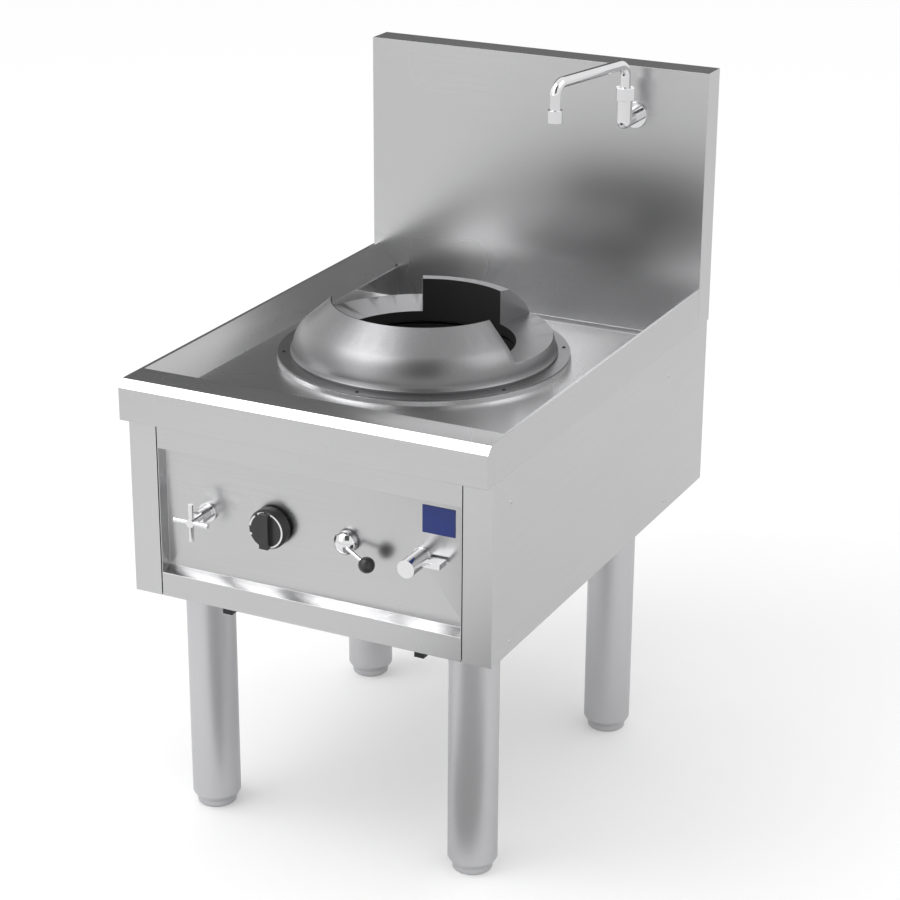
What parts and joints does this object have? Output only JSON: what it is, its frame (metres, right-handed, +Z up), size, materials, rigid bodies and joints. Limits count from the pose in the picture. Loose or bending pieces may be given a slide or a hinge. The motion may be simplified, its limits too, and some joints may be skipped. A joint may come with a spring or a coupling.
{
  "type": "wok range",
  "caption": "Free-standing stainless wok range with a burner in a lift-off ring, a sunken pan, a rear gutter, front controls and a swing spout on its backsplash.",
  "frame": {"origin": "centre of the overall box, on the floor", "axes": "+X to the right, the controls face -Y, +Z up"},
  "size_m": [0.6, 0.851, 1.1115],
  "materials": {
    "stainless": "brushed stainless sheet",
    "tube_steel": "polished stainless tube",
    "ring_iron": "machined grey iron, bare",
    "burner_iron": "black heat-stained iron",
    "chrome": "bright chrome plating",
    "brass": "bare brass",
    "black_knob": "black moulded plastic with a white scale",
    "blue_plate": "plain blue enamel",
    "copper": "bare copper pipe"
  },
  "bodies": {
    "range": {"worktop": "stainless", "rear_gutter": "stainless", "gutter_cove": "stainless", "gutter_strainer": "stainless", "splash_front": "stainless", "splash_shell": "stainless", "side_panel_left": "stainless", "side_panel_right": "stainless", "back_panel": "stainless", "base_plate": "stainless", "control_panel": "stainless", "badge_plate": "blue_plate", "side_screws": "stainless", "leg_sockets": "stainless", "leg_front_left": "tube_steel", "leg_front_right": "tube_steel", "leg_rear_left": "tube_steel", "leg_rear_right": "tube_steel", "leg_plugs": "tube_steel", "burner_collar": "ring_iron", "ring_flange": "ring_iron", "flange_bolts": "burner_iron", "combustion_bowl": "burner_iron", "bowl_floor": "burner_iron", "bowl_rim": "burner_iron", "burner_head": "burner_iron", "burner_stem": "burner_iron", "burner_bracket": "stainless", "pilot_burner": "brass", "gas_valve": "brass", "gas_supply_pipe": "brass", "burner_pipe": "brass", "knob_bezel": "chrome", "tap_valve": "brass", "lever_valve": "brass", "wing_valve": "brass", "water_pipe": "copper", "spout_feed_pipe": "copper", "drain_pipe": "stainless", "underside_clips": "burner_iron", "spout_elbow": "chrome", "spout_rosette": "chrome", "swivel_nut": "chrome"},
    "foot_front_left": {"foot_front_left": "tube_steel"},
    "foot_front_right": {"foot_front_right": "tube_steel"},
    "foot_rear_left": {"foot_rear_left": "tube_steel"},
    "foot_rear_right": {"foot_rear_right": "tube_steel"},
    "wok_ring": {"wok_ring": "ring_iron"},
    "gas_spindle": {"gas_spindle": "stainless"},
    "gas_knob": {"gas_knob": "black_knob"},
    "tap_handle": {"tap_handle": "chrome"},
    "lever": {"lever_handle": "chrome", "lever_ball": "black_knob"},
    "wing_knob": {"wing_knob": "chrome"},
    "spout": {"spout_tube": "chrome", "spout_nozzle": "chrome"}
  },
  "joints": [
    {"name": "foot_front_left_screw", "type": "slide", "parent": "range", "child": "foot_front_left", "axis": [0, 0, -1], "range_m": [0, 0.03]},
    {"name": "foot_front_right_screw", "type": "slide", "parent": "range", "child": "foot_front_right", "axis": [0, 0, -1], "range_m": [0, 0.03]},
    {"name": "foot_rear_left_screw", "type": "slide", "parent": "range", "child": "foot_rear_left", "axis": [0, 0, -1], "range_m": [0, 0.03]},
    {"name": "foot_rear_right_screw", "type": "slide", "parent": "range", "child": "foot_rear_right", "axis": [0, 0, -1], "range_m": [0, 0.03]},
    {"name": "wok_ring_lift", "type": "slide", "parent": "range", "child": "wok_ring", "axis": [0, 0, 1], "range_m": [0, 0.12]},
    {"name": "gas_knob_press", "type": "slide", "parent": "range", "child": "gas_spindle", "axis": [0, 1, 0], "range_m": [0, 0.003], "stiffness_N_per_m": 1500},
    {"name": "gas_knob_turn", "type": "hinge", "parent": "gas_spindle", "child": "gas_knob", "pos_m": [-0.06591, -0.373, 0.532], "axis": [0, 1, 0], "range_deg": [-270, 0]},
    {"name": "tap_handle_turn", "type": "hinge", "parent": "range", "child": "tap_handle", "pos_m": [-0.17778, -0.373, 0.532], "axis": [0, 1, 0], "range_deg": [-360, 0]},
    {"name": "lever_turn", "type": "hinge", "parent": "range", "child": "lever", "pos_m": [0.05794, -0.373, 0.532], "axis": [0, 1, 0], "range_deg": [-90, 0]},
    {"name": "wing_knob_turn", "type": "hinge", "parent": "range", "child": "wing_knob", "pos_m": [0.17878, -0.373, 0.532], "axis": [0, 1, 0], "range_deg": [-90, 0]},
    {"name": "spout_swing", "type": "hinge", "parent": "range", "child": "spout", "pos_m": [0.177, 0.3315, 1.05], "axis": [0, 0, 1], "range_deg": [-85, 60]}
  ]
}
